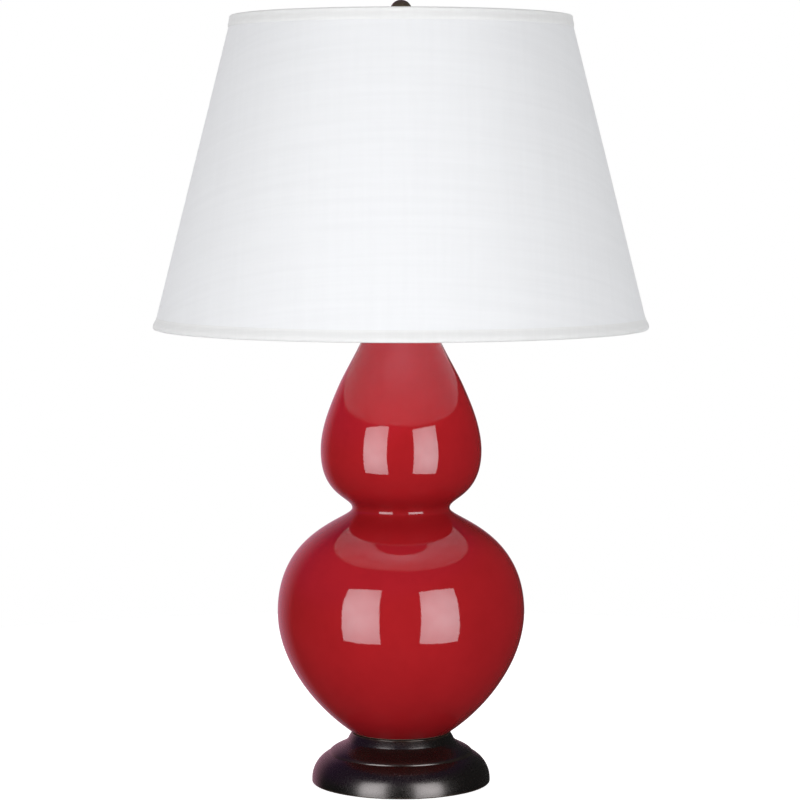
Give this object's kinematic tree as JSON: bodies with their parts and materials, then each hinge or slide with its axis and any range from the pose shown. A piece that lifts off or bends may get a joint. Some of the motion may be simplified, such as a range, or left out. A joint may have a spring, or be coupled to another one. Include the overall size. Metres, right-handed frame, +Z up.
{
  "type": "table lamp",
  "caption": "Table lamp: glazed double gourd body on a stepped round base, tapered cloth shade carried by a harp, turn-knob socket and screw-in bulb.",
  "frame": {"origin": "middle of the felt pad's underside, on the table", "axes": "+Z up along the lamp's axis; -Y is the front, where the switch knob points; +Y is the rear, where the lead leaves the base; +X is the lamp's right as seen in the picture"},
  "size_m": [0.4965, 0.4966, 0.7874],
  "materials": {
    "bronze": "dark bronze finish, soft sheen, paler worn edges",
    "red_glaze": "deep red glaze over ceramic, high gloss",
    "cast_iron": "as cast",
    "steel": "zinc-plated, satin",
    "board": "dark hardboard",
    "felt": "black felt",
    "black_nylon": "moulded, matt",
    "rubber": "matt rubber",
    "brass": "polished, light lacquer",
    "card": "vulcanised fibre",
    "phenolic": "moulded dark phenolic",
    "aluminium": "drawn, bright",
    "switch_black": "moulded, soft gloss",
    "frosted_glass": "frosted white glass",
    "black_glass": "moulded black glass",
    "solder": "solder",
    "styrene": "white shade lining",
    "shade_cloth": "white plain-weave shade cloth",
    "trim_tape": "folded self-colour tape"
  },
  "bodies": {
    "lamp": {"base_foot": "bronze", "base_weight": "cast_iron", "base_washer": "steel", "base_lock_washer": "steel", "base_nut": "steel", "bottom_cover": "board", "felt_pad": "felt", "cord_bushing": "black_nylon", "lamp_pipe": "steel", "foot_gasket": "rubber", "gourd_body": "red_glaze", "vase_cap": "bronze", "neck_tube": "bronze", "harp_saddle": "brass", "harp_wire": "brass", "socket_locknut": "steel", "socket_cap": "brass", "set_screw": "steel", "socket_shell": "brass", "socket_insulator": "card", "socket_core": "phenolic", "terminal_screws": "brass", "screw_shell": "aluminium", "centre_contact": "brass"},
    "ferrule_left": {"ferrule_left": "brass"},
    "ferrule_right": {"ferrule_right": "brass"},
    "switch": {"switch_stem": "brass", "switch_knob": "switch_black"},
    "bulb": {"bulb_glass": "frosted_glass", "bulb_cap": "aluminium", "bulb_insulator": "black_glass", "bulb_tip": "solder"},
    "shade": {"harp_stud": "brass", "spider_hub": "brass", "spider_arms": "brass", "top_ring": "brass", "bottom_ring": "brass", "shade_liner": "styrene", "shade_fabric": "shade_cloth", "top_trim": "trim_tape", "bottom_trim": "trim_tape"},
    "finial": {"finial": "bronze"}
  },
  "joints": [
    {"name": "switch_turn", "type": "hinge", "parent": "lamp", "child": "switch", "pos_m": [0, -0.025, 0.5525], "axis": [0, 1, 0], "continuous": true},
    {"name": "ferrule_left_slide", "type": "slide", "parent": "lamp", "child": "ferrule_left", "axis": [0, 0, 1], "range_m": [0, 0.01]},
    {"name": "ferrule_right_slide", "type": "slide", "parent": "lamp", "child": "ferrule_right", "axis": [0, 0, 1], "range_m": [0, 0.01]},
    {"name": "bulb_turn", "type": "hinge", "parent": "lamp", "child": "bulb", "pos_m": [0, 0, 0.58], "axis": [0, 0, 1], "range_deg": [0, 1260]},
    {"name": "shade_turn", "type": "hinge", "parent": "lamp", "child": "shade", "pos_m": [0, 0, 0.755], "axis": [0, 0, 1], "continuous": true},
    {"name": "finial_turn", "type": "hinge", "parent": "shade", "child": "finial", "pos_m": [0, 0, 0.765], "axis": [0, 0, 1], "range_deg": [0, 3060]}
  ]
}
